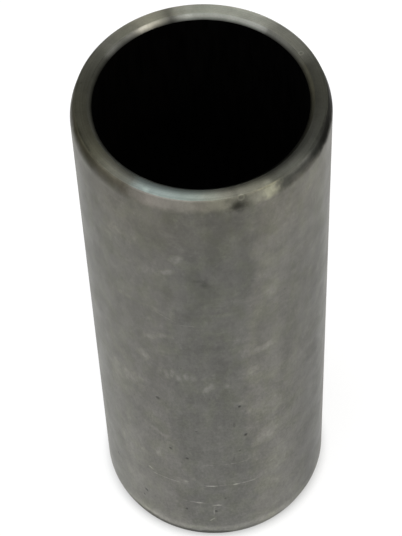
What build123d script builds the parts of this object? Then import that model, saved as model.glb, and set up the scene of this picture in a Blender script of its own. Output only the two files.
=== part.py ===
from build123d import *

import os

# Piston pin: a hollow steel pin, turned and ground as one piece, that couples a piston to the
# small end of its connecting rod. It stands on one end face. +Z runs up its axis and the origin
# is the centre of the lower end face. All sizes are in millimetres.

# Ground tube
pin_diameter = 22.0  # ground outside, the bearing surface
pin_length = 56.0  # over both end faces
wall_thickness = 1.9  # from the bore to the ground outside

# Lead-in at each end, a slender cone that guides the pin into the piston's bosses
lead_in_length = 1.2  # along the axis, back from the end face
lead_in_drop = 0.4  # how far the cone's small end lies inside the ground outside
shoulder_radius = 2.0  # blend from the cone to the ground outside
land_edge_radius = 0.3  # broken edge between the flat end face and the cone

# Chamfer at each mouth of the bore
bore_chamfer_width = 0.42  # across the end face
bore_chamfer_depth = 0.42  # down the bore
bore_edge_radius = 0.1  # blend from the chamfer into the bore

pin_radius = pin_diameter / 2
bore_radius = pin_radius - wall_thickness
same_place = 1e-6  # a corner this close to a distance is at that distance


def corners_at(sketch, distance):
    """The sketch's corners at that distance from the axis, one for each end of the pin."""
    return sketch.vertices().filter_by_position(Axis.X, distance - same_place, distance + same_place)


with BuildPart() as piston_pin:
    # The wall's section, as (distance from the axis, height). Both ends are alike.
    with BuildSketch(Plane.XZ) as wall_section:
        with Locations((bore_radius, 0)):
            Rectangle(wall_thickness, pin_length, align=(Align.MIN, Align.MIN))

        ground_side = wall_section.edges().sort_by(Axis.X)[-1]
        chamfer(ground_side.vertices(), lead_in_length, lead_in_drop, reference=ground_side)
        bore_side = wall_section.edges().sort_by(Axis.X)[0]
        chamfer(bore_side.vertices(), bore_chamfer_depth, bore_chamfer_width, reference=bore_side)

        fillet(corners_at(wall_section, pin_radius), shoulder_radius)
        fillet(corners_at(wall_section, pin_radius - lead_in_drop), land_edge_radius)
        fillet(corners_at(wall_section, bore_radius), bore_edge_radius)
    revolve(axis=Axis.Z)

piston_pin.part.label = "piston_pin"

os.makedirs("parts", exist_ok=True)
export_step(piston_pin.part, "parts/piston_pin.step")
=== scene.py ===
import math

import bmesh
import bpy
from mathutils import Matrix, Vector


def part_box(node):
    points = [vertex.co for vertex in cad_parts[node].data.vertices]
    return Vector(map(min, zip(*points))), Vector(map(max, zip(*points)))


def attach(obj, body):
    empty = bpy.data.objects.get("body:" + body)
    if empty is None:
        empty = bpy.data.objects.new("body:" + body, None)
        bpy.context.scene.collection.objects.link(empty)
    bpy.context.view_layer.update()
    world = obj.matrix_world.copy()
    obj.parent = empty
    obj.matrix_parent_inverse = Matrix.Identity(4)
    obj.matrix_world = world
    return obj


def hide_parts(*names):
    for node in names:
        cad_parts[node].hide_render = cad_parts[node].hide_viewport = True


# The looks of a hollow steel piston pin: ground outside, turned ends and a dark bore. It stands on
# a pale floor in soft studio light, seen from the photograph's place. Lengths are in metres, in the
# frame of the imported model: +Z runs up the pin's axis and the floor is at zero. The materials
# measure in millimetres and in degrees round the pin, from its near side towards +X.

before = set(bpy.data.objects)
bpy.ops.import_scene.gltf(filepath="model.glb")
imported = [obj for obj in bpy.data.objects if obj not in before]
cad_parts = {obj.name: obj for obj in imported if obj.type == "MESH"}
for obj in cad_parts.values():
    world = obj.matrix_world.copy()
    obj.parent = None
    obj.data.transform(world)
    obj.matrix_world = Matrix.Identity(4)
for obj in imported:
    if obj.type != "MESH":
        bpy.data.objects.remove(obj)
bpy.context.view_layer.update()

MM = 0.001

# The pin, from the frame's box and the sizes that the box can't tell
lowest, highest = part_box("piston_pin")
PIN_RADIUS = min(-lowest.x, highest.x, -lowest.y, highest.y)
PIN_LENGTH = highest.z - lowest.z
WALL = 1.9 * MM
LEAD_IN_LENGTH = 1.2 * MM
LEAD_IN_DROP = 0.4 * MM
BORE_CHAMFER = 0.42 * MM
SHOULDER_RADIUS = 2.0 * MM
LAND_EDGE_RADIUS = 0.3 * MM
BORE_EDGE_RADIUS = 0.1 * MM
CHAMFER_EDGE_RADIUS = 0.04 * MM
TURNS = 720  # flat strips round the pin
ARC_STEP = 5  # degrees between the points of a rounded corner, at most
FEWEST_ARC_STEPS = 3


def new_object(name, data):
    """A new object in the scene."""
    made = bpy.data.objects.new(name, data)
    bpy.context.scene.collection.objects.link(made)
    return made


# The camera: where it stands, and the small turns that put the pin in its place in the picture
PICTURE_HEIGHT_PX = 536
FOCAL_PX = 2182
SENSOR = 36.0
NEAREST = 0.01  # nothing closer to the camera shows
CAMERA_DISTANCE = 204.1 * MM
CAMERA_ELEVATION = math.radians(55.39)
CAMERA_PAN = math.radians(-0.18)
CAMERA_TILT = math.radians(-0.59)
CAMERA_ROLL = math.radians(2.42)


def make_camera():
    """The photograph's camera. It looks down on the middle of the pin."""
    data = bpy.data.cameras.new("camera")
    data.sensor_width = SENSOR
    data.lens = FOCAL_PX / PICTURE_HEIGHT_PX * SENSOR
    data.clip_start = NEAREST
    camera = new_object("camera", data)

    back = Vector((0, -math.cos(CAMERA_ELEVATION), math.sin(CAMERA_ELEVATION)))
    right = Vector((1, 0, 0))
    level = Matrix((right, back.cross(right), back))
    turn = (
        Matrix.Rotation(CAMERA_ROLL, 3, "Z")
        @ Matrix.Rotation(CAMERA_TILT, 3, "X")
        @ Matrix.Rotation(CAMERA_PAN, 3, "Y")
    )
    camera.matrix_world = (turn @ level).transposed().to_4x4()
    camera.location = back * CAMERA_DISTANCE + Vector((0, 0, PIN_LENGTH / 2))
    bpy.context.scene.camera = camera


# Node helpers. A value is a number or another node's socket.


def node(tree, kind, inputs=None, **settings):
    """Adds a node. inputs gives a value for each input, by the input's name or number."""
    made = tree.nodes.new(kind)
    for name, value in settings.items():
        setattr(made, name, value)
    for name, value in (inputs or {}).items():
        if isinstance(value, bpy.types.NodeSocket):
            tree.links.new(value, made.inputs[name])
        else:
            made.inputs[name].default_value = value
    return made


def step(tree, operation, *values):
    """One step of arithmetic."""
    return node(tree, "ShaderNodeMath", dict(enumerate(values)), operation=operation).outputs[0]


def product(tree, *values):
    """The values multiplied together."""
    result = values[0]
    for value in values[1:]:
        result = step(tree, "MULTIPLY", result, value)
    return result


def total(tree, *values):
    """The values added together."""
    result = values[0]
    for value in values[1:]:
        result = step(tree, "ADD", result, value)
    return result


def weighed(tree, masks, strengths):
    """The sum of the masks that strengths names, each times its strength."""
    return total(tree, *[product(tree, masks[name], strength) for name, strength in strengths.items()])


def fade(tree, value, start, end, low=0.0, high=1.0, kind="SMOOTHSTEP"):
    """Goes from low to high while the value goes from start to end, and smoothly unless kind is
    LINEAR."""
    inputs = {0: value, 1: start, 2: end, 3: low, 4: high}
    return node(tree, "ShaderNodeMapRange", inputs, interpolation_type=kind).outputs[0]


def fade_straight(tree, value, start, end, low=0.0, high=1.0):
    """Goes evenly from low to high while the value goes from start to end."""
    return fade(tree, value, start, end, low, high, kind="LINEAR")


def noise(tree, place, size, detail=2.0, roughness=0.5):
    """Cloudy noise about a half. size is that of a cloud, in mm."""
    inputs = {"Vector": place, "Scale": 1 / size, "Detail": detail, "Roughness": roughness}
    return node(tree, "ShaderNodeTexNoise", inputs).outputs[0]


def spread(tree, bed, low, high, reach=0.2, kind="SMOOTHSTEP"):
    """Noise spread out to go from low to high. It gets there when it is reach away from a half."""
    return fade(tree, bed, 0.5 - reach, 0.5 + reach, low, high, kind)


def vector_step(tree, operation, first, second):
    """One step of arithmetic on places or colours."""
    return node(tree, "ShaderNodeVectorMath", {0: first, 1: second}, operation=operation).outputs[0]


def scaled(tree, vector, share):
    """A place or a colour times a number."""
    return node(tree, "ShaderNodeVectorMath", {0: vector, "Scale": share}, operation="SCALE").outputs[0]


def blended(tree, share, first, second):
    """A mix of two colours. A share of 0 is the first."""
    mix = node(tree, "ShaderNodeMix", {0: share}, data_type="RGBA")
    for socket, colour in ((mix.inputs[6], first), (mix.inputs[7], second)):
        if isinstance(colour, bpy.types.NodeSocket):
            tree.links.new(colour, socket)
        else:
            socket.default_value = (*colour, 1)
    return mix.outputs[2]


def round_ramp(tree, angle, stops):
    """A colour for each angle round the pin, from a few stops of (angle, colour)."""
    ramp = node(tree, "ShaderNodeValToRGB", {0: fade_straight(tree, angle, -180, 180)})
    elements = ramp.color_ramp.elements
    while len(elements) < len(stops):
        elements.new(0.5)
    for element, (degrees, colour) in zip(elements, stops):
        element.position = (degrees + 180) / 360
        element.color = (*colour, 1)
    return ramp.outputs[0]


def relief(tree, height, depth):
    """A bump from a height where 1 stands for depth, in mm."""
    inputs = {"Strength": 1.0, "Distance": depth * MM, "Height": height}
    return node(tree, "ShaderNodeBump", inputs).outputs[0]


def new_material(name):
    """An empty material and its node tree."""
    material = bpy.data.materials.new(name)
    material.use_nodes = True
    material.node_tree.nodes.clear()
    return material, material.node_tree


def show(tree, shader):
    """Makes the shader the material's surface."""
    node(tree, "ShaderNodeOutputMaterial", {"Surface": shader.outputs[0]})


def new_group(name, inputs, outputs):
    """An empty node group with number inputs and the given outputs, and the nodes at its two ends."""
    group = bpy.data.node_groups.new(name, "ShaderNodeTree")
    for socket in inputs:
        group.interface.new_socket(socket, in_out="INPUT", socket_type="NodeSocketFloat")
    for socket, kind in outputs.items():
        group.interface.new_socket(socket, in_out="OUTPUT", socket_type=kind)
    return group, group.nodes.new("NodeGroupInput"), group.nodes.new("NodeGroupOutput")


def place_group():
    """Where a point of the pin lies: its place in mm, its angle round the pin, its height and its
    distance from the axis."""
    group, _, end = new_group("place_on_pin", (), {
        "Place": "NodeSocketVector", "Angle": "NodeSocketFloat",
        "Height": "NodeSocketFloat", "Radius": "NodeSocketFloat"})
    point = node(group, "ShaderNodeTexCoord").outputs["Object"]
    place = scaled(group, point, 1 / MM)
    x, y, z = node(group, "ShaderNodeSeparateXYZ", {0: place}).outputs
    turn = step(group, "ARCTAN2", x, product(group, y, -1))
    radius = step(group, "SQRT", total(group, product(group, x, x), product(group, y, y)))
    results = (place, step(group, "DEGREES", turn), z, radius)
    for socket, result in zip(end.inputs, results):
        group.links.new(result, socket)
    return group


def mark_group():
    """One more soft-edged oval over the marks so far. Level is the height, or the distance from the
    axis on an end face."""
    group, start, end = new_group("mark", (
        "Over", "Angle", "Level", "At angle", "At level", "Half length", "Half width", "Turn",
        "Strength", "Edge", "Warp"), {"Marks": "NodeSocketFloat"})
    get = start.outputs
    degrees = step(group, "WRAP", step(group, "SUBTRACT", get["Angle"], get["At angle"]), 180, -180)
    along = product(group, degrees, math.radians(PIN_RADIUS / MM))
    up = step(group, "SUBTRACT", get["Level"], get["At level"])
    turn = step(group, "RADIANS", get["Turn"])
    cos, sin = step(group, "COSINE", turn), step(group, "SINE", turn)
    u = total(group, product(group, along, cos), product(group, up, sin))
    v = step(group, "SUBTRACT", product(group, up, cos), product(group, along, sin))
    u = step(group, "DIVIDE", u, get["Half length"])
    v = step(group, "DIVIDE", v, get["Half width"])
    reach = step(group, "SQRT", total(group, product(group, u, u), product(group, v, v)))
    reach = total(group, reach, get["Warp"])
    mask = fade(group, reach, 1.0, step(group, "SUBTRACT", 1.0, get["Edge"]))
    over = step(group, "MAXIMUM", get["Over"], product(group, mask, get["Strength"]))
    group.links.new(over, end.inputs[0])
    return group


PLACE = place_group()
MARK = mark_group()

# The dried rims of two small drops and their middles, placed by how far they lie past the rim's edge.
# Ovals here and below are (angle, level, half length, half width, turn, strength).
DROPS = [(117.7, -0.87, 0.32, 0.32, 0, 0.36), (15.8, 0.27, 0.40, 0.50, 0, 0.34)]
DROP_MIDDLES = [(117.7, -0.87, 0.22, 0.22, 0, 0.48), (15.8, 0.27, 0.29, 0.36, 0, 0.36)]

BAND_WANDER = 3.0  # degrees that the edges of the colour bands and painted reflections round the pin wander over


class OnPin:
    """The sockets that say where a point of the pin lies."""

    def __init__(self, tree):
        found = node(tree, "ShaderNodeGroup", node_tree=PLACE).outputs
        self.tree = tree
        self.place, self.angle, self.height, self.radius = found
        self.ragged = spread(tree, noise(tree, self.place, size=0.7, detail=3.0), -0.5, 0.5, kind="LINEAR")

    def ragged_angle(self):
        """The angle, ragged, for colour bands and painted reflections that have no clean edges."""
        return total(self.tree, self.angle, product(self.tree, self.ragged, BAND_WANDER))

    def marks(self, level, ovals, edge, ragged):
        """The ovals as one mask. edge is the share of an oval that its soft edge takes, and ragged is
        how uneven its outline is."""
        warp = product(self.tree, self.ragged, ragged)
        over = 0.0
        for angle, at, half_length, half_width, turn, strength in ovals:
            over = node(self.tree, "ShaderNodeGroup", {
                "Over": over, "Angle": self.angle, "Level": level, "At angle": angle, "At level": at,
                "Half length": half_length, "Half width": half_width, "Turn": turn,
                "Strength": strength, "Edge": edge, "Warp": warp}, node_tree=MARK).outputs[0]
        return over

    def drops(self, past_rim):
        """The dried drops: light rims round slightly dark middles. past_rim is how far a point lies past
        the edge between the end face and the lead-in."""
        outlines = self.marks(past_rim, DROPS, edge=0.4, ragged=0.1)
        return step(self.tree, "SUBTRACT", outlines, self.marks(past_rim, DROP_MIDDLES, edge=0.6, ragged=0.1))


def bare_steel(tree, inputs):
    """Metal whose gloss is drawn out across the circular marks of a lathe or a grinding wheel."""
    return node(tree, "ShaderNodeBsdfPrincipled", {
        "Metallic": 1.0,
        "Anisotropic Rotation": 0.25,
        "Tangent": node(tree, "ShaderNodeTangent", direction_type="RADIAL", axis="Z").outputs[0],
        **inputs,
    })


# The ground outside

STEEL = (0.1573, 0.1528, 0.1405)
GREENER_STEEL = (0.1557, 0.1553, 0.1314)
WARM_TINT = (1.015, 1.0, 0.96)
PAINTED_REFLECTION_STOPS = [  # painted reflection and shade round the pin, as shares of its base colour
    (-180, (1.00, 1.00, 0.98)), (-90, (0.98, 0.985, 0.945)), (-62, (0.84, 0.845, 0.80)),
    (-52, (0.93, 0.93, 0.885)), (-42, (0.92, 0.92, 0.888)), (-22, (0.875, 0.87, 0.86)),
    (-12, (0.785, 0.795, 0.79)), (0, (0.785, 0.795, 0.788)), (16.5, (0.80, 0.81, 0.80)),
    (20.5, (0.98, 0.975, 0.95)), (34, (0.995, 0.995, 0.968)), (42, (0.866, 0.867, 0.838)),
    (62, (0.82, 0.823, 0.772)), (78, (0.945, 0.948, 0.90)), (180, (1.00, 1.00, 0.98))]
LEAD_IN_TINT_AND_REFLECTION_STOPS = [  # base colours round the upper lead-in: a tint with painted reflections, a painted highlight at 29.5° to 32.5° and painted shade at the sides
    (-180, (0.20, 0.20, 0.18)), (-120, (0.17, 0.17, 0.145)), (-90, (0.100, 0.095, 0.072)),
    (-74, (0.085, 0.080, 0.055)), (-60, (0.112, 0.105, 0.076)),
    (-52, (0.150, 0.140, 0.106)), (-45, (0.150, 0.140, 0.108)), (-38, (0.120, 0.110, 0.086)),
    (-33, (0.184, 0.174, 0.150)), (-26, (0.215, 0.198, 0.175)), (-18, (0.187, 0.176, 0.155)),
    (-9, (0.190, 0.180, 0.155)), (-2, (0.175, 0.165, 0.138)), (6, (0.180, 0.174, 0.138)),
    (17, (0.150, 0.147, 0.120)), (24, (0.220, 0.214, 0.175)), (29.5, (0.375, 0.370, 0.275)),
    (32.5, (0.340, 0.332, 0.255)), (36, (0.100, 0.100, 0.086)), (45, (0.155, 0.155, 0.136)),
    (51, (0.165, 0.165, 0.147)), (57, (0.080, 0.082, 0.072)), (70, (0.044, 0.044, 0.039)),
    (85, (0.044, 0.044, 0.038)), (120, (0.17, 0.17, 0.15)), (180, (0.20, 0.20, 0.18))]

# Painted shade: broad darker zones on the side, some of them at the foot
PAINTED_SHADES = [
    (0, 56, 4.6, 34, 0, 0.6), (-18, 53, 2.5, 9, 0, 0.6), (62, 0, 5.0, 58, 0, 3.0), (-62, 37, 3.0, 7, 0, 0.5),
    (31, 39, 2.6, 6, 0, 0.3), (-64, 2.0, 2.2, 1.1, 0, 1.0), (39, 2.6, 2.4, 1.7, 0, 1.1)]
# Painted light: broad lighter zones on the side, and lighter bands along the foot
PAINTED_LIGHTS = [
    (54, 53, 6.0, 15, 0, 2.2), (-44, 50, 3.0, 6, 0, 0.7), (8, 40, 2.2, 4, 0, 0.5), (-46, 10, 3.0, 9, 0, 0.5),
    (-35, 2.1, 4.0, 1.3, 0, 1.5), (-4, 1.9, 6.5, 0.6, 0, 0.7), (-43, 54.4, 1.0, 1.5, 0, 1.3)]
# Painted shade: a dark line along the foot, where the pin meets the floor
PAINTED_FOOT_SHADE = [
    (-20, 0.2, 6.0, 1.3, 0, 0.6), (-42, 0.4, 4.6, 1.4, 0, 0.65), (-5, 0.2, 3.4, 1.3, 0, 0.7),
    (22, 0.2, 7.2, 1.3, 0, 0.35)]
PITS = [
    (-27.6, 25.1, 0.36, 0.36, 0, 0.8), (12.4, 24.6, 0.23, 0.34, 0, 0.9), (15.2, 19.3, 0.26, 0.42, 0, 1.1),
    (-22.8, 16.6, 0.20, 0.32, 0, 0.7), (-14.6, 15.4, 0.20, 0.28, 0, 0.7), (12.0, 16.6, 0.18, 0.28, 0, 0.6),
    (-39.4, 5.9, 0.26, 0.40, 20, 0.8), (-41.2, 4.7, 0.20, 0.32, 0, 0.7), (-16.2, 5.4, 0.20, 0.32, 0, 0.7),
    (-1.0, 5.4, 0.20, 0.32, 0, 0.7), (4.0, 7.9, 0.18, 0.28, 0, 0.6), (-61.0, 7.9, 0.26, 0.36, 0, 0.7),
    (9.5, 21.5, 0.18, 0.7, 0, 0.35), (9.0, 15.4, 0.18, 0.9, 0, 0.3), (-9.0, 20.6, 0.16, 0.2, 0, 0.4),
    (164.0, 33.0, 0.28, 0.34, 0, 0.9), (-118.0, 14.0, 0.26, 0.34, 10, 0.9), (92.0, 21.0, 0.26, 0.32, 0, 0.8),
    (-150.0, 44.0, 0.24, 0.30, 0, 0.8), (128.0, 9.0, 0.26, 0.30, 0, 0.8)]
SMUDGES = [
    (-1.0, 44.6, 0.9, 0.75, -20, 1.2), (-5.0, 45.2, 1.1, 0.5, 0, 0.8), (4.0, 53.4, 2.2, 1.3, 0, 0.3),
    (14.0, 52.6, 1.0, 1.8, 0, 0.4), (-12.0, 39.5, 1.8, 1.8, 0, 0.3), (-5.0, 34.5, 2.4, 1.2, 15, 0.3),
    (-33.0, 24.6, 1.6, 1.4, 0, 0.4), (-140.0, 38.0, 1.2, 0.8, 20, 0.7), (118.0, 30.0, 1.4, 1.0, -15, 0.6)]
SMEARS = [
    (-13.4, 48.1, 1.0, 0.85, 10, 2.2), (-18.6, 46.0, 1.0, 0.55, 30, 1.9), (-45.5, 49.1, 1.6, 1.1, -20, 2.2),
    (-50.0, 47.8, 1.5, 0.7, 10, 0.7), (-38.0, 39.9, 4.2, 0.5, 2, 0.6), (6.0, 39.9, 2.2, 0.45, 0, 0.6),
    (25.8, 33.2, 2.0, 0.85, 12, 1.5), (20.5, 30.2, 1.2, 0.6, 8, 1.1), (-34.0, 31.6, 0.8, 1.1, 10, 1.6),
    (-25.6, 30.0, 0.4, 1.1, -12, 1.2), (-22.0, 29.6, 0.4, 1.1, 8, 1.3), (-19.0, 30.2, 0.4, 1.1, -10, 1.3),
    (-16.0, 29.4, 0.4, 1.2, 12, 1.5), (-12.4, 30.0, 0.4, 1.2, -8, 1.6), (-9.0, 29.8, 0.4, 1.1, 10, 1.4),
    (-2.0, 28.2, 0.6, 1.2, -25, 1.7), (7.0, 28.4, 0.5, 0.8, 10, 1.3), (-43.0, 26.3, 2.0, 1.7, 10, 1.3),
    (-47.0, 29.5, 1.6, 1.0, -20, 0.8), (-52.0, 24.5, 2.0, 3.6, 0, 0.8), (-22.0, 36.0, 1.3, 0.6, 25, 1.1),
    (-30.0, 35.0, 1.2, 0.5, 25, 1.0), (-42.0, 33.4, 1.6, 0.6, 15, 0.7), (30.0, 23.0, 2.4, 2.8, 0, 0.9),
    (26.5, 18.2, 1.6, 2.2, -10, 1.5), (29.0, 41.6, 1.2, 1.6, 10, 0.9), (26.0, 46.0, 1.5, 2.5, 0, 0.5),
    (31.0, 8.4, 1.5, 1.8, 20, 0.8), (30.0, 28.0, 1.4, 1.6, -15, 0.6), (-30.0, 19.0, 2.2, 0.5, -27, 1.7),
    (-30.0, 15.0, 1.4, 0.4, 80, 1.5), (30.0, 12.5, 1.9, 3.0, 0, 0.6), (-40.0, 13.8, 2.0, 0.7, 0, 0.9),
    (-53.6, 14.0, 0.5, 1.6, 0, 0.9), (-35.0, 11.0, 0.4, 0.4, 0, 0.9), (-16.6, 10.9, 0.6, 0.45, -30, 2.2),
    (-19.5, 11.2, 0.4, 0.3, 0, 1.2), (44.0, 29.0, 0.5, 1.0, -15, 0.8), (150.0, 27.0, 1.6, 0.5, 12, 0.7),
    (-158.0, 20.0, 0.9, 0.6, -30, 0.6), (-104.0, 33.0, 1.2, 0.4, 35, 0.6), (96.0, 12.0, 1.1, 0.5, -10, 0.6),
    (174.0, 42.0, 0.8, 0.9, 0, 0.5)]
SCRATCHES = [
    (2.0, 14.36, 3.4, 0.09, 0, 0.3), (10.0, 14.4, 1.3, 0.10, 0, 0.4), (-26.5, 10.4, 3.4, 0.10, 0, 0.5),
    (5.0, 10.4, 4.2, 0.09, 0, 0.3), (-1.7, 10.35, 0.9, 0.13, 0, 1.0), (10.3, 10.3, 0.6, 0.13, 0, 0.9),
    (15.2, 10.3, 0.9, 0.15, 0, 1.1), (-11.0, 6.95, 1.3, 0.13, -1, 1.2), (-0.6, 6.55, 0.6, 0.16, 0, 1.3),
    (-34.8, 11.0, 0.4, 0.14, -30, 0.9), (-2.0, 5.3, 1.3, 0.08, 88, 0.6), (-3.0, 3.7, 0.6, 0.11, 50, 0.8),
    (30.0, 12.6, 1.2, 0.06, 8, 0.3), (-48.0, 13.0, 1.4, 0.06, -12, 0.3), (38.0, 21.0, 1.6, 0.06, 35, 0.3),
    (-20.0, 39.0, 1.8, 0.06, -28, 0.25), (-12.0, 38.3, 1.1, 0.06, 2, 0.25), (150.0, 30.0, 2.6, 0.08, 4, 0.6),
    (-130.0, 17.0, 2.2, 0.08, -9, 0.6), (100.0, 41.0, 1.8, 0.08, 20, 0.5), (-172.0, 9.5, 1.9, 0.08, 0, 0.6)]
# Dark spots on the upper lead-in, some of them painted shade
LEAD_IN_SPOTS_AND_SHADE = [
    (13.9, 55.1, 1.3, 1.15, 0, 1.0), (40.0, 55.0, 0.5, 0.7, 0, 0.3), (29.5, 55.92, 1.8, 0.22, 0, 0.6)]
SPOT_AND_SHADE_STRENGTH = 0.75

# What each kind of mark adds to the tone, takes from it and adds to the relief
LIGHTER = {"patchy_smears": 0.38, "scratches": 1.35, "flecks": 0.15, "wisps": 0.09, "painted_lights": 0.17}
DARKER = {"pits": 0.7, "smudges": 0.25, "specks": 0.2, "painted_shades": 0.16, "painted_foot_shade": 0.6}
HIGHER = {"lines": 0.5, "grain": 0.5, "pits": -6.0, "scratches": -1.0}
GROUND_RELIEF = 0.006  # mm

# The roughness and what smears and the lead-in add to it. A tint below 1 dulls the gloss at a grazing angle:
# the lead-in has one, and the painted shade along the foot takes some more away.
GROUND_ROUGHNESS = (0.38, 0.44)
SMEAR_ROUGHNESS = 0.06
LEAD_IN_ROUGHNESS = -0.08
LEAD_IN_TINT = 0.4
FOOT_SHADE_DULLING = 0.75
LEAD_IN_WANDER = 0.3  # mm that the edge of the lead-in's colours wanders over

# How patterns are squeezed along each axis: upright clouds, level wisps and the wheel's level lines
UPRIGHT = (1.0, 1.0, 0.6)
LEVEL = (0.6, 0.6, 1.0)
WHEEL_LINES = (0.14, 0.14, 6.0)

# Fades with the height: where each starts and ends, and its value there
GRAIN_FADE = (16.0, 44.0, 1.0, 0.45)
TONE_FALL = (0.0, PIN_LENGTH / MM, 1.02, 0.955)
LIGHT_FOOT = (5.0, 1.5, 1.0, 1.08)
LIGHT_FOOT_LINE = (2.5, 1.8, 1.0, 1.33)
UPPER_BEND = (30.0, 50.0, 3.0, -3.0)
LOWER_BEND = (24.0, 8.0, 0.0, -5.0)
WARM_TOP = (46.0, 53.0, 0.0, 1.0)
LEAD_IN_EDGE = (54.45, 55.3, 0.0, 1.0)
ROUGH_RIM = (55.5, 55.8, 0.0, 0.15)

# Fades with the angle: how much higher the edge of the lead-in's colours is at both sides, and where that
# ends on the right
RAISED_SIDES = (32.0, 44.0, 0.0, 0.35)
RAISED_END = (50.0, 62.0, 1.0, 0.0)


def ground_marks(tree, pin, upright):
    """The mask of each kind of mark on the outside, with the grain and the wheel's lines."""
    fleck_bed = noise(tree, upright, size=1.0, detail=4.0, roughness=0.65)
    wisp_bed = noise(tree, vector_step(tree, "MULTIPLY", pin.place, LEVEL), size=2.4, roughness=0.55)
    wisps = fade(tree, step(tree, "ABSOLUTE", step(tree, "SUBTRACT", wisp_bed, 0.5)), 0.03, 0.0)
    smears = pin.marks(pin.height, SMEARS, edge=1.0, ragged=0.5)
    scratches = pin.marks(pin.height, SCRATCHES, edge=0.7, ragged=0.9)
    broken = fade(tree, noise(tree, pin.place, size=0.9), 0.40, 0.56, 0.3, 1.0)
    lines = vector_step(tree, "MULTIPLY", pin.place, WHEEL_LINES)
    return {
        "grain": spread(tree, noise(tree, upright, size=0.26, detail=3.0, roughness=0.8), -0.12, 0.12, 0.18),
        "lines": noise(tree, lines, size=1.0, detail=3.0, roughness=0.7),
        "flecks": fade(tree, fleck_bed, 0.54, 0.70),
        "wisps": product(tree, wisps, fade(tree, noise(tree, pin.place, size=3.5), 0.46, 0.62)),
        "specks": fade(tree, noise(tree, pin.place, size=0.45, detail=1.0), 0.74, 0.80),
        "pits": pin.marks(pin.height, PITS, edge=0.7, ragged=0.5),
        "smudges": pin.marks(pin.height, SMUDGES, edge=1.0, ragged=0.6),
        "smears": smears,
        "patchy_smears": product(tree, smears, fade(tree, fleck_bed, 0.35, 0.6, 0.55, 1.0)),
        "scratches": product(tree, scratches, broken),
        "painted_shades": pin.marks(pin.height, PAINTED_SHADES, edge=1.0, ragged=0.3),
        "painted_lights": pin.marks(pin.height, PAINTED_LIGHTS, edge=1.0, ragged=0.3),
        "painted_foot_shade": pin.marks(pin.height, PAINTED_FOOT_SHADE, edge=0.35, ragged=0.2),
    }


def fine_tone(tree, pin, upright, marks):
    """The tone of the steel's fine texture: soft clouds, the wheel's lines, and the grain, which is
    strongest near the foot."""
    clouds = spread(tree, noise(tree, upright, size=1.8, detail=4.0, roughness=0.64), 0.885, 1.115, 0.18)
    grain = total(tree, 1.0, product(tree, marks["grain"], fade(tree, pin.height, *GRAIN_FADE)))
    return product(tree, clouds, grain, spread(tree, marks["lines"], 0.982, 1.018))


def outside_tone(tree, pin, marks, fine):
    """The fine texture with the marks over it, a slow fall towards the top and a lighter foot."""
    marked = total(tree, 1.0, weighed(tree, marks, LIGHTER))
    marked = step(tree, "SUBTRACT", marked, weighed(tree, marks, DARKER))
    fall = fade_straight(tree, pin.height, *TONE_FALL)
    foot = product(tree, fade(tree, pin.height, *LIGHT_FOOT), fade(tree, pin.height, *LIGHT_FOOT_LINE))
    return product(tree, fine, marked, fall, foot)


def outside_colour(tree, pin, upright, marks, ragged_angle):
    """Steel that is greener in patches and in faint smears, with upright bands of painted reflection and
    shade that bend with the height, and a warmer top."""
    smears = marks["smears"]
    patches = fade(tree, noise(tree, upright, size=1.5, detail=3.0, roughness=0.6), 0.42, 0.68)
    green = step(tree, "MAXIMUM", patches, fade(tree, smears, 0.0, 0.5, 0.0, 0.8))
    green = product(tree, green, fade(tree, smears, 0.5, 0.9, 1.0, 0.1))
    bend = total(tree, fade(tree, pin.height, *UPPER_BEND), fade(tree, pin.height, *LOWER_BEND))
    broad = spread(tree, noise(tree, pin.place, size=2.5), -2.5, 2.5, kind="LINEAR")
    # Painted reflection and shade: darker and lighter upright bands round the side
    painted_reflection = round_ramp(tree, total(tree, ragged_angle, bend, broad), PAINTED_REFLECTION_STOPS)
    with_reflection = vector_step(tree, "MULTIPLY", blended(tree, green, STEEL, GREENER_STEEL), painted_reflection)
    warmth = blended(tree, fade(tree, pin.height, *WARM_TOP), (1.0, 1.0, 1.0), WARM_TINT)
    return vector_step(tree, "MULTIPLY", with_reflection, warmth)


def lead_in_share(tree, pin):
    """How far a point lies on the upper lead-in, from 0 to 1, with a ragged edge."""
    worn_height = total(tree, pin.height, product(tree, pin.ragged, LEAD_IN_WANDER))
    raised = fade(tree, step(tree, "ABSOLUTE", pin.angle), *RAISED_SIDES)
    raised = product(tree, raised, fade(tree, pin.angle, *RAISED_END))
    return fade(tree, step(tree, "SUBTRACT", worn_height, raised), *LEAD_IN_EDGE)


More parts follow.
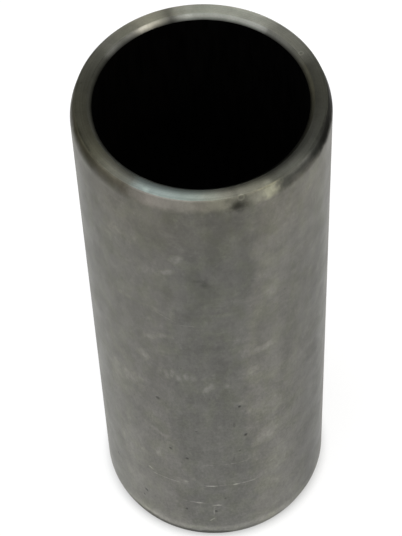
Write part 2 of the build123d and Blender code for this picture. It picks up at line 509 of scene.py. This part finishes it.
def ground_steel():
    """Ground and satin: fine marks round the pin, greener in patches and banded with painted reflection and
    shade, with small pits and scratches. The upper lead-in has colours of its own, partly painted reflection
    and shade, and the two run into each other over its shoulder."""
    material, tree = new_material("ground_steel")
    pin = OnPin(tree)
    upright = vector_step(tree, "MULTIPLY", pin.place, UPRIGHT)
    ragged_angle = pin.ragged_angle()
    marks = ground_marks(tree, pin, upright)
    fine = fine_tone(tree, pin, upright, marks)
    outside = outside_colour(tree, pin, upright, marks, ragged_angle)
    outside = scaled(tree, outside, outside_tone(tree, pin, marks, fine))
    lead_in = scaled(tree, round_ramp(tree, ragged_angle, LEAD_IN_TINT_AND_REFLECTION_STOPS), fine)
    on_lead_in = lead_in_share(tree, pin)

    spots_and_shade = product(tree, pin.marks(pin.height, LEAD_IN_SPOTS_AND_SHADE, edge=1.0, ragged=0.4), SPOT_AND_SHADE_STRENGTH)
    past_rim = step(tree, "SUBTRACT", step(tree, "SUBTRACT", pin.radius, pin.height),
                    (PIN_RADIUS - LEAD_IN_DROP - PIN_LENGTH) / MM)
    spotted = total(tree, step(tree, "SUBTRACT", 1.0, spots_and_shade), pin.drops(past_rim))

    roughness = total(
        tree, spread(tree, noise(tree, pin.place, size=2.4, detail=3.0), *GROUND_ROUGHNESS),
        product(tree, marks["smears"], SMEAR_ROUGHNESS), product(tree, on_lead_in, LEAD_IN_ROUGHNESS),
        fade(tree, pin.height, *ROUGH_RIM))
    edge_tint = step(tree, "SUBTRACT", fade_straight(tree, on_lead_in, 0.0, 1.0, 1.0, LEAD_IN_TINT),
                     product(tree, marks["painted_foot_shade"], FOOT_SHADE_DULLING))
    show(tree, bare_steel(tree, {
        "Base Color": scaled(tree, blended(tree, on_lead_in, outside, lead_in), spotted),
        "Roughness": roughness,
        "Specular Tint": scaled(tree, (1.0, 1.0, 1.0), edge_tint),
        "Anisotropic": 0.5,
        "Normal": relief(tree, weighed(tree, marks, HIGHER), GROUND_RELIEF),
    }))
    return material


# The turned end faces and the chamfers inside them. Their colours are a thin tint with painted reflections,
# as base colours. Spots are dark, some of them painted shade, and painted highlights light, placed by their
# distance from the axis.

# The land's tint round the axis, with its bright and dark sectors of reflected light painted in
LAND_TINT_AND_REFLECTION_STOPS = [
    (-180, (0.248, 0.250, 0.207)), (-174, (0.320, 0.320, 0.268)), (-170, (0.355, 0.355, 0.298)),
    (-162, (0.255, 0.255, 0.212)), (-150, (0.230, 0.230, 0.195)), (-140, (0.255, 0.255, 0.210)),
    (-130, (0.290, 0.288, 0.248)), (-123, (0.235, 0.235, 0.195)), (-92, (0.192, 0.190, 0.142)),
    (-60, (0.205, 0.200, 0.145)), (-48, (0.262, 0.260, 0.214)), (-37, (0.218, 0.220, 0.190)),
    (-31.5, (0.305, 0.350, 0.327)), (-24, (0.264, 0.306, 0.286)), (-12, (0.264, 0.303, 0.278)),
    (-4, (0.246, 0.275, 0.242)), (2, (0.304, 0.318, 0.267)), (9, (0.340, 0.336, 0.280)),
    (14, (0.285, 0.284, 0.240)), (19, (0.222, 0.223, 0.190)), (27, (0.156, 0.158, 0.135)),
    (35, (0.138, 0.141, 0.121)), (41, (0.213, 0.217, 0.188)), (50, (0.213, 0.216, 0.186)),
    (56, (0.178, 0.181, 0.156)), (92, (0.187, 0.187, 0.148)), (109, (0.215, 0.215, 0.175)),
    (117, (0.295, 0.295, 0.250)), (138, (0.262, 0.262, 0.225)), (146, (0.355, 0.355, 0.305)),
    (158, (0.266, 0.266, 0.223)), (180, (0.248, 0.250, 0.207))]
# Dark marks on the land, most of them painted shade: gaps between the reflections of the lamps, and a
# darkened outer edge
LAND_SPOTS_AND_SHADE = [
    (13.6, 10.1, 0.5, 2.4, 0, 0.35), (-69.0, 10.62, 3.6, 0.3, 0, 0.75), (66.0, 10.62, 3.8, 0.3, 0, 0.75),
    (-165.5, 9.9, 0.8, 2.4, 0, 0.55), (-103.0, 10.2, 0.2, 0.14, 0, 0.4)]
# Painted highlights on the land, where the lamps glint
LAND_PAINTED_HIGHLIGHTS = [
    (-27.5, 10.36, 0.55, 0.32, 0, 0.5), (29.0, 10.45, 0.8, 0.6, 0, 0.6), (159.0, 10.5, 3.2, 0.6, 0, 0.22)]
# The chamfer's tint round the axis, with its glints and dark gaps of reflected light painted in
CHAMFER_TINT_AND_REFLECTION_STOPS = [
    (-180, (0.145, 0.146, 0.128)), (-174, (0.220, 0.221, 0.196)), (-168, (0.220, 0.220, 0.197)),
    (-162, (0.168, 0.168, 0.151)), (-155, (0.125, 0.125, 0.117)), (-149, (0.166, 0.166, 0.158)),
    (-145, (0.140, 0.140, 0.131)), (-136, (0.098, 0.098, 0.087)), (-129, (0.155, 0.155, 0.140)),
    (-121, (0.065, 0.065, 0.055)), (-110, (0.040, 0.040, 0.032)), (-90, (0.050, 0.050, 0.040)),
    (-70, (0.112, 0.112, 0.092)), (-50, (0.155, 0.159, 0.138)), (-30, (0.185, 0.205, 0.185)),
    (-12, (0.075, 0.082, 0.073)), (0, (0.028, 0.031, 0.025)), (35, (0.014, 0.014, 0.011)),
    (60, (0.048, 0.048, 0.038)), (95, (0.055, 0.053, 0.037)), (110, (0.060, 0.058, 0.044)),
    (122, (0.090, 0.090, 0.078)), (128, (0.120, 0.120, 0.107)), (140, (0.100, 0.100, 0.090)),
    (144, (0.170, 0.170, 0.155)), (158, (0.128, 0.128, 0.113)), (180, (0.145, 0.146, 0.128))]
# Painted shade on the chamfer, in the gap between the reflections of the lamps
CHAMFER_PAINTED_SHADE = [(-166.0, 9.3, 0.85, 1.5, 0, 0.65)]
PAINTED_HIGHLIGHT_STRENGTH = 0.8
TURNED_RELIEF = 0.003  # mm
TURNED_UNEVENNESS = 0.03  # of its roughness, up and down
RINGS_PER_MM = 9  # of turning, about
ALONG_RINGS = (0.1, 0.1, 0.0)  # how slowly a ring changes along itself, for each axis

# Fades with the distance from the axis: the painted shade beside the bore, the chamfer, and the land's outer
# edge, which is rougher
BESIDE_BORE = (9.5, 10.3)
ACROSS_CHAMFER = (9.06, 9.41)
ROUGH_LAND_EDGE = (10.3, 10.45, 0.0, 0.12)

# Fades with the angle: that shade is full on the near side, less at both sides and on the left, and
# it ends behind
NEAR_SHADE = (45.0, 70.0, 1.0, 0.3)
FAR_SHADE = (105.0, 125.0, 1.0, 0.0)
LEFT_SHADE = (-50.0, -15.0, 0.78, 1.0)


def turned_steel(name, stops, spots_and_shade, painted_highlights, roughness, anisotropic, edge_tint, bore_tone, chamfer_tones):
    """Steel with the fine rings of turning. stops colour it round the axis, partly with painted reflections.
    edge_tint dulls its gloss at a grazing angle. bore_tone is how dark the painted shade beside the bore
    leaves the land there, and chamfer_tones is the tone of a chamfer at the bore and at the land."""
    material, tree = new_material(name)
    pin = OnPin(tree)
    outward = product(tree, total(tree, pin.radius, pin.height), RINGS_PER_MM)
    along_rings = vector_step(tree, "MULTIPLY", pin.place, ALONG_RINGS)
    across_rings = node(tree, "ShaderNodeCombineXYZ", {2: outward}).outputs[0]
    rings = noise(tree, vector_step(tree, "ADD", along_rings, across_rings), size=1.0, roughness=0.6)
    clouds = spread(tree, noise(tree, pin.place, size=1.3, detail=4.0, roughness=0.6), 0.92, 1.08)
    grain = spread(tree, noise(tree, pin.place, size=0.16, roughness=0.7), 0.95, 1.05)
    fine = product(tree, spread(tree, rings, 0.93, 1.07), clouds, grain)

    # Dark spots and painted shade take from the tone; painted highlights and the drops' light rims add to it
    dark = product(tree, pin.marks(pin.radius, spots_and_shade, edge=1.0, ragged=0.4), SPOT_AND_SHADE_STRENGTH)
    light = product(tree, pin.marks(pin.radius, painted_highlights, edge=1.0, ragged=0.4), PAINTED_HIGHLIGHT_STRENGTH)
    past_rim = step(tree, "SUBTRACT", pin.radius, (PIN_RADIUS - LEAD_IN_DROP) / MM)
    marked = step(tree, "SUBTRACT", total(tree, 1.0, light, pin.drops(past_rim)), dark)

    # Painted shade beside the bore: full on the near side, less at the sides, none behind
    away = step(tree, "ABSOLUTE", pin.angle)
    shade = product(tree, fade(tree, away, *NEAR_SHADE), fade(tree, away, *FAR_SHADE),
                    fade(tree, pin.angle, *LEFT_SHADE))
    beside_bore = step(tree, "SUBTRACT", 1.0, product(tree, shade, 1.0 - bore_tone))
    by_bore = fade(tree, pin.radius, *BESIDE_BORE, beside_bore, 1.0)
    on_chamfer = fade(tree, pin.radius, *ACROSS_CHAMFER, *chamfer_tones)
    tone = product(tree, fine, marked, by_bore, on_chamfer)

    uneven = spread(tree, noise(tree, pin.place, size=1.1),
                    roughness - TURNED_UNEVENNESS, roughness + TURNED_UNEVENNESS)
    show(tree, bare_steel(tree, {
        "Base Color": scaled(tree, round_ramp(tree, pin.ragged_angle(), stops), tone),
        "Roughness": total(tree, uneven, fade(tree, pin.radius, *ROUGH_LAND_EDGE)),
        "Specular Tint": (edge_tint, edge_tint, edge_tint, 1),
        "Anisotropic": anisotropic,
        "Normal": relief(tree, rings, TURNED_RELIEF),
    }))
    return material


# The bore
NEAR_BLACK_BORE = (0.0009, 0.00085, 0.0008)
BORE_STREAKS = (1.5, 1.5, 0.25)  # how its streaks are drawn out along the bore
BORE_RELIEF = 0.02  # mm


def dark_bore():
    """The bore is almost black and throws almost nothing back."""
    material, tree = new_material("dark_bore")
    drawn_out = vector_step(tree, "MULTIPLY", OnPin(tree).place, BORE_STREAKS)
    streaks = noise(tree, drawn_out, size=1.0, detail=3.0)
    show(tree, node(tree, "ShaderNodeBsdfPrincipled", {
        "Base Color": scaled(tree, NEAR_BLACK_BORE, spread(tree, streaks, 0.5, 1.5)),
        "Metallic": 0.0,
        "Roughness": spread(tree, streaks, 0.85, 0.7),
        "Specular IOR Level": 0.01,
        "Normal": relief(tree, streaks, BORE_RELIEF),
    }))
    return material


# The pin's form

GROUND, LAND, CHAMFER, BORE = range(4)


def rounded(corners):
    """The points of a closed outline of (radius, height, blend, zone) corners. Each point carries the
    zone of the run that starts at it."""
    points = []
    for i, (radius, height, blend, zone) in enumerate(corners):
        corner = Vector((radius, height))
        before = Vector(corners[i - 1][:2]) - corner
        after = Vector(corners[(i + 1) % len(corners)][:2]) - corner
        half = before.angle(after) / 2
        start = corner + before.normalized() * (blend / math.tan(half))
        middle = corner + (before.normalized() + after.normalized()).normalized() * blend / math.sin(half)
        sweep = math.pi - 2 * half
        steps = max(FEWEST_ARC_STEPS, math.ceil(math.degrees(sweep) / ARC_STEP))
        side = 1 if before.cross(after) < 0 else -1
        for k in range(steps + 1):
            share = k / steps
            spoke = Matrix.Rotation(side * sweep * share, 2) @ (start - middle)
            points.append((middle + spoke, corners[i - 1][3] if share < 0.5 else zone))
    return points


def pin_section():
    """The wall's outline, from the middle of the bore up, over the top end and down the outside."""
    bore = PIN_RADIUS - WALL
    land_inside = bore + BORE_CHAMFER
    land_outside = PIN_RADIUS - LEAD_IN_DROP
    upper = [
        (bore, PIN_LENGTH - BORE_CHAMFER, BORE_EDGE_RADIUS, CHAMFER),
        (land_inside, PIN_LENGTH, CHAMFER_EDGE_RADIUS, LAND),
        (land_outside, PIN_LENGTH, LAND_EDGE_RADIUS, GROUND),
        (PIN_RADIUS, PIN_LENGTH - LEAD_IN_LENGTH, SHOULDER_RADIUS, GROUND),
    ]
    lower_zones = (GROUND, LAND, CHAMFER, BORE)
    lower = [(radius, PIN_LENGTH - height, blend, zone)
             for (radius, height, blend, _), zone in zip(reversed(upper), lower_zones)]
    return rounded(upper + lower)


def make_pin(materials):
    """The pin as one turned skin, replacing the plain solid."""
    section = pin_section()
    shape = bmesh.new()
    rings = []
    for turn in range(TURNS):
        angle = 2 * math.pi * turn / TURNS
        across = Vector((math.sin(angle), -math.cos(angle)))
        rings.append([shape.verts.new((across.x * p.x, across.y * p.x, p.y)) for p, _ in section])
    for turn, ring in enumerate(rings):
        beside = rings[(turn + 1) % TURNS]
        for i, (_, zone) in enumerate(section):
            j = (i + 1) % len(section)
            face = shape.faces.new((ring[i], beside[i], beside[j], ring[j]))
            face.material_index = zone
            face.smooth = True
    bmesh.ops.recalc_face_normals(shape, faces=shape.faces)
    mesh = bpy.data.meshes.new("pin_skin")
    shape.to_mesh(mesh)
    shape.free()
    for material in materials:
        mesh.materials.append(material)
    pin = new_object("pin_skin", mesh)
    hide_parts("piston_pin")
    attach(pin, "root")


# The stage: a round floor that bends up into a low wall
FLOOR_RADIUS = 0.8
FLOOR_RINGS = 4  # that the flat part is cut into
FLOOR_SPOKES = 96
WALL_BEND = 0.3
WALL_BEND_STEPS = 12
WALL_TOP = 0.55
FLOOR_COLOUR = (0.9, 0.9, 0.9, 1)
WHITE = (1, 1, 1, 1)
WHITE_STRENGTH = 1.12  # of the white that stands for the floor's own, before its shade is mixed in
SHADOW_SHARE = 0.25  # how much of the floor's own light and shade a camera or a mirror sees
CONTACT_REACH = 1.25 * MM  # how far from the pin the floor loses light to it
CONTACT_FALL = 1.5  # how fast it does, as a power of how closed in a point is
CONTACT_TONE = 0.15  # what is left under the pin's edge

# Two dark cards on the floor: their name, their left and right edges and how light they are
FLAGS = [("left_flag", -0.30, -0.085, 0.25), ("right_flag", 0.085, 0.30, 0.06)]
FLAG_FRONT = -0.08
FLAG_BACK = 0.25
FLAG_HEIGHT = 0.5 * MM


def floor_material():
    """White to the camera and to the steel, with a share of the real light and shade left in."""
    material, tree = new_material("floor")
    plain = node(tree, "ShaderNodeBsdfDiffuse", {"Color": FLOOR_COLOUR})
    openness = node(tree, "ShaderNodeAmbientOcclusion", {"Distance": CONTACT_REACH}).outputs["AO"]
    closeness = step(tree, "POWER", step(tree, "SUBTRACT", 1.0, openness), CONTACT_FALL)
    contact = fade_straight(tree, closeness, 0.0, 1.0, 1.0, CONTACT_TONE)
    white = node(tree, "ShaderNodeEmission", {
        "Color": WHITE, "Strength": product(tree, contact, WHITE_STRENGTH)})
    seen = node(tree, "ShaderNodeMixShader", {0: SHADOW_SHARE, 1: white.outputs[0], 2: plain.outputs[0]})
    path = node(tree, "ShaderNodeLightPath").outputs
    any_view = total(tree, path["Is Camera Ray"], path["Is Glossy Ray"], path["Is Transmission Ray"])
    show(tree, node(tree, "ShaderNodeMixShader", {0: any_view, 1: plain.outputs[0], 2: seen.outputs[0]}))
    return material


def make_floor():
    """The floor and its wall, so that no edge shows in a view from the side."""
    outline = [(FLOOR_RADIUS * i / FLOOR_RINGS, 0.0) for i in range(1, FLOOR_RINGS)]
    for i in range(WALL_BEND_STEPS + 1):
        angle = math.pi / 2 * i / WALL_BEND_STEPS
        outline.append((FLOOR_RADIUS + WALL_BEND * math.sin(angle), WALL_BEND * (1 - math.cos(angle))))
    outline.append((FLOOR_RADIUS + WALL_BEND, WALL_TOP))

    shape = bmesh.new()
    spokes = [2 * math.pi * k / FLOOR_SPOKES for k in range(FLOOR_SPOKES)]
    rings = [[shape.verts.new((radius * math.sin(a), -radius * math.cos(a), height)) for a in spokes]
             for radius, height in outline]
    shape.faces.new(rings[0])
    for inner, outer in zip(rings, rings[1:]):
        for k in range(FLOOR_SPOKES):
            beside = (k + 1) % FLOOR_SPOKES
            face = shape.faces.new((inner[k], inner[beside], outer[beside], outer[k]))
            face.smooth = True
    bmesh.ops.recalc_face_normals(shape, faces=shape.faces)
    mesh = bpy.data.meshes.new("floor")
    shape.to_mesh(mesh)
    shape.free()
    mesh.materials.append(floor_material())
    floor = new_object("floor", mesh)


def make_flag(name, left, right, tone):
    """A dark card that lies on the floor and that only the steel's gloss can see."""
    mesh = bpy.data.meshes.new(name)
    corners = [(left, FLAG_FRONT, FLAG_HEIGHT), (right, FLAG_FRONT, FLAG_HEIGHT),
               (right, FLAG_BACK, FLAG_HEIGHT), (left, FLAG_BACK, FLAG_HEIGHT)]
    mesh.from_pydata(corners, [], [(0, 1, 2, 3)])
    material, tree = new_material(name)
    show(tree, node(tree, "ShaderNodeEmission", {"Color": WHITE, "Strength": tone}))
    mesh.materials.append(material)
    flag = new_object(name, mesh)
    flag.visible_camera = False
    flag.visible_diffuse = False
    flag.visible_shadow = False


# The light: two softboxes side by side overhead, two windows in front, two softboxes at the sides,
# and an even, dimmer room
COOL = (0.95, 0.98, 1.0)
OFF_WHITE = (1.0, 1.0, 0.97)
OVERHEAD_HEIGHT = 0.50
OVERHEAD_Y = -0.0625
OVERHEAD_DEPTH = 0.275
OVERHEAD_LAMPS = [  # name, left edge, right edge, radiance, colour
    ("cool_softbox", -0.196, 0.036, 4.0, COOL),
    ("warm_softbox", 0.080, 0.196, 3.6, (1.0, 0.97, 0.90))]
LAMP_DISTANCE = 0.6  # of the other lamps, from the middle of the pin's top
LAMPS = [  # name, azimuth, elevation, width, depth, radiance, colour
    ("left_softbox", -95, 52, 0.32, 0.32, 1.8, OFF_WHITE),
    ("right_softbox", 90, 52, 0.32, 0.32, 1.1, OFF_WHITE),
    ("cool_window", -24, 35, 0.75, 0.18, 3.5, COOL),
    ("warm_window", 47, 33, 0.09, 0.09, 26.0, (1.0, 0.95, 0.80))]
ROOM_COLOUR = (0.22, 0.22, 0.22, 1)


def make_lamp(name, place, facing, width, depth, radiance, colour):
    """A flat softbox that faces a point. width runs across, and depth up or back."""
    data = bpy.data.lights.new(name, "AREA")
    data.shape = "RECTANGLE"
    data.size = width
    data.size_y = depth
    data.energy = radiance * math.pi * width * depth
    data.color = colour
    lamp = new_object(name, data)
    lamp.location = place
    lamp.rotation_euler = (place - facing).to_track_quat("Z", "Y").to_euler()
    lamp.visible_camera = False


def make_lamps():
    """The lamps overhead face straight down, and the others face the middle of the pin's top."""
    for name, left, right, radiance, colour in OVERHEAD_LAMPS:
        middle = (left + right) / 2
        make_lamp(name, Vector((middle, OVERHEAD_Y, OVERHEAD_HEIGHT)), Vector((middle, OVERHEAD_Y, 0)),
                  right - left, OVERHEAD_DEPTH, radiance, colour)
    pin_top = Vector((0, 0, PIN_LENGTH))
    for name, azimuth, elevation, width, depth, radiance, colour in LAMPS:
        a, e = math.radians(azimuth), math.radians(elevation)
        toward = Vector((math.sin(a) * math.cos(e), -math.cos(a) * math.cos(e), math.sin(e)))
        make_lamp(name, toward * LAMP_DISTANCE + pin_top, pin_top, width, depth, radiance, colour)


def make_room():
    """The world's even light."""
    world = bpy.data.worlds.new("room")
    world.use_nodes = True
    world.node_tree.nodes.clear()
    room = node(world.node_tree, "ShaderNodeBackground", {"Color": ROOM_COLOUR, "Strength": 1.0})
    node(world.node_tree, "ShaderNodeOutputWorld", {"Surface": room.outputs[0]})
    bpy.context.scene.world = world


bpy.context.scene.view_settings.view_transform = "Standard"
make_camera()
make_floor()
for flag in FLAGS:
    make_flag(*flag)
make_lamps()
make_room()
make_pin([
    ground_steel(),
    turned_steel("land_steel", LAND_TINT_AND_REFLECTION_STOPS, LAND_SPOTS_AND_SHADE, LAND_PAINTED_HIGHLIGHTS, roughness=0.41, anisotropic=1.0,
                 edge_tint=1.0, bore_tone=0.2, chamfer_tones=(1.0, 1.0)),
    turned_steel("chamfer_steel", CHAMFER_TINT_AND_REFLECTION_STOPS, CHAMFER_PAINTED_SHADE, [], roughness=0.33, anisotropic=0.6,
                 edge_tint=0.5, bore_tone=1.0, chamfer_tones=(0.2, 1.42)),
    dark_bore(),
])
